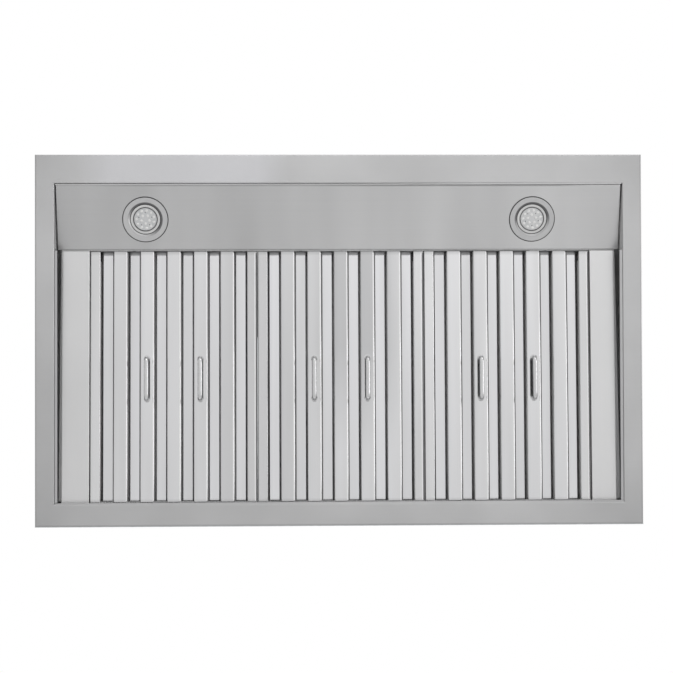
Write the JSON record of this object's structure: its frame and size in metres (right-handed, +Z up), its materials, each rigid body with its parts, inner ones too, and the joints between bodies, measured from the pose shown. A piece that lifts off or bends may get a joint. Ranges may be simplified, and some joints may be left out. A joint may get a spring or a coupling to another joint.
{
  "type": "wall mount range hood",
  "caption": "Stainless wall mount range hood: sloped canopy, telescoping chimney, slanted light panel, tilting baffle filters with wire handles, blower and push buttons.",
  "frame": {"origin": "on the wall plane, on the middle line, level with the underside of the rim", "axes": "+Z up, +Y into the wall, so the front faces -Y, and +X to the right seen from the front"},
  "size_m": [0.9144, 0.5612, 0.7433],
  "materials": {
    "brushed_steel": "fine brushed grain",
    "filter_steel": "bright rolled sheet",
    "bezel_steel": "satin turned ring",
    "handle_wire": "polished wire",
    "button_steel": "turned caps",
    "galvanised_steel": "zinc spangle",
    "plain_steel": "bright zinc",
    "lamp_aluminium": "matt cast",
    "lamp_lens": "pale ribbed lens",
    "motor_paint": "satin black",
    "black_plastic": "fine moulded grain",
    "capacitor_can": "smooth moulded can"
  },
  "bodies": {
    "hood": {"base_frame": "brushed_steel", "canopy_front": "brushed_steel", "canopy_left": "brushed_steel", "canopy_right": "brushed_steel", "back_panel": "galvanised_steel", "roof_plate": "galvanised_steel", "light_panel": "brushed_steel", "side_filler_left": "brushed_steel", "side_filler_right": "brushed_steel", "grease_tray": "galvanised_steel", "filter_catches": "plain_steel", "lamp_bezel_left": "bezel_steel", "lamp_bezel_right": "bezel_steel", "lamp_body_left": "lamp_aluminium", "lamp_body_right": "lamp_aluminium", "lamp_lens_left": "lamp_lens", "lamp_lens_right": "lamp_lens", "lamp_clips": "plain_steel", "blower_scroll": "galvanised_steel", "blower_side_left": "galvanised_steel", "blower_side_right": "galvanised_steel", "blower_motor": "motor_paint", "motor_bracket": "galvanised_steel", "housing_screws": "plain_steel", "duct_collar": "galvanised_steel", "damper_rod": "galvanised_steel", "chimney_lower": "brushed_steel", "chimney_feet": "galvanised_steel", "switch_box": "black_plastic", "junction_box": "galvanised_steel", "junction_cover": "galvanised_steel", "run_capacitor": "capacitor_can", "lamp_driver": "black_plastic", "cable_gland": "black_plastic"},
    "impeller": {"impeller_hub": "galvanised_steel", "impeller_rings": "galvanised_steel", "impeller_blades": "galvanised_steel", "motor_shaft": "plain_steel"},
    "damper_front": {"damper_flap_front": "galvanised_steel"},
    "damper_rear": {"damper_flap_rear": "galvanised_steel"},
    "chimney_top": {"chimney_upper": "brushed_steel", "chimney_bracket": "galvanised_steel", "chimney_screws": "plain_steel"},
    "button_power_body": {"button_power": "button_steel"},
    "button_low_body": {"button_low": "button_steel"},
    "button_medium_body": {"button_medium": "button_steel"},
    "button_high_body": {"button_high": "button_steel"},
    "button_light_body": {"button_light": "button_steel"},
    "filter_left": {"filter_left_frame": "filter_steel", "filter_left_lower_baffles": "filter_steel", "filter_left_upper_baffles": "filter_steel", "filter_left_handles": "handle_wire"},
    "filter_centre": {"filter_centre_frame": "filter_steel", "filter_centre_lower_baffles": "filter_steel", "filter_centre_upper_baffles": "filter_steel", "filter_centre_handles": "handle_wire"},
    "filter_right": {"filter_right_frame": "filter_steel", "filter_right_lower_baffles": "filter_steel", "filter_right_upper_baffles": "filter_steel", "filter_right_handles": "handle_wire"}
  },
  "joints": [
    {"name": "impeller_spin", "type": "hinge", "parent": "hood", "child": "impeller", "pos_m": [0, -0.105, 0.172], "axis": [1, 0, 0], "continuous": true},
    {"name": "damper_front_swing", "type": "hinge", "parent": "hood", "child": "damper_front", "pos_m": [0, -0.17675, 0.319], "axis": [-1, 0, 0], "range_deg": [0, 75]},
    {"name": "damper_rear_swing", "type": "hinge", "parent": "hood", "child": "damper_rear", "pos_m": [0, -0.17675, 0.319], "axis": [1, 0, 0], "range_deg": [0, 75]},
    {"name": "chimney_slide", "type": "slide", "parent": "hood", "child": "chimney_top", "axis": [0, 0, 1], "range_m": [0, 0.3]},
    {"name": "button_power_press", "type": "slide", "parent": "hood", "child": "button_power_body", "axis": [0, 1, 0], "range_m": [0, 0.002], "stiffness_N_per_m": 600},
    {"name": "button_low_press", "type": "slide", "parent": "hood", "child": "button_low_body", "axis": [0, 1, 0], "range_m": [0, 0.002], "stiffness_N_per_m": 600},
    {"name": "button_medium_press", "type": "slide", "parent": "hood", "child": "button_medium_body", "axis": [0, 1, 0], "range_m": [0, 0.002], "stiffness_N_per_m": 600},
    {"name": "button_high_press", "type": "slide", "parent": "hood", "child": "button_high_body", "axis": [0, 1, 0], "range_m": [0, 0.002], "stiffness_N_per_m": 600},
    {"name": "button_light_press", "type": "slide", "parent": "hood", "child": "button_light_body", "axis": [0, 1, 0], "range_m": [0, 0.002], "stiffness_N_per_m": 600},
    {"name": "filter_left_tilt", "type": "hinge", "parent": "hood", "child": "filter_left", "pos_m": [-0.2509, -0.034, 0.0146], "axis": [1, 0, 0], "range_deg": [0, 70], "deforming": ["filter_catches"]},
    {"name": "filter_centre_tilt", "type": "hinge", "parent": "hood", "child": "filter_centre", "pos_m": [0.002, -0.034, 0.0146], "axis": [1, 0, 0], "range_deg": [0, 70], "deforming": ["filter_catches"]},
    {"name": "filter_right_tilt", "type": "hinge", "parent": "hood", "child": "filter_right", "pos_m": [0.2549, -0.034, 0.0146], "axis": [1, 0, 0], "range_deg": [0, 70], "deforming": ["filter_catches"]}
  ]
}
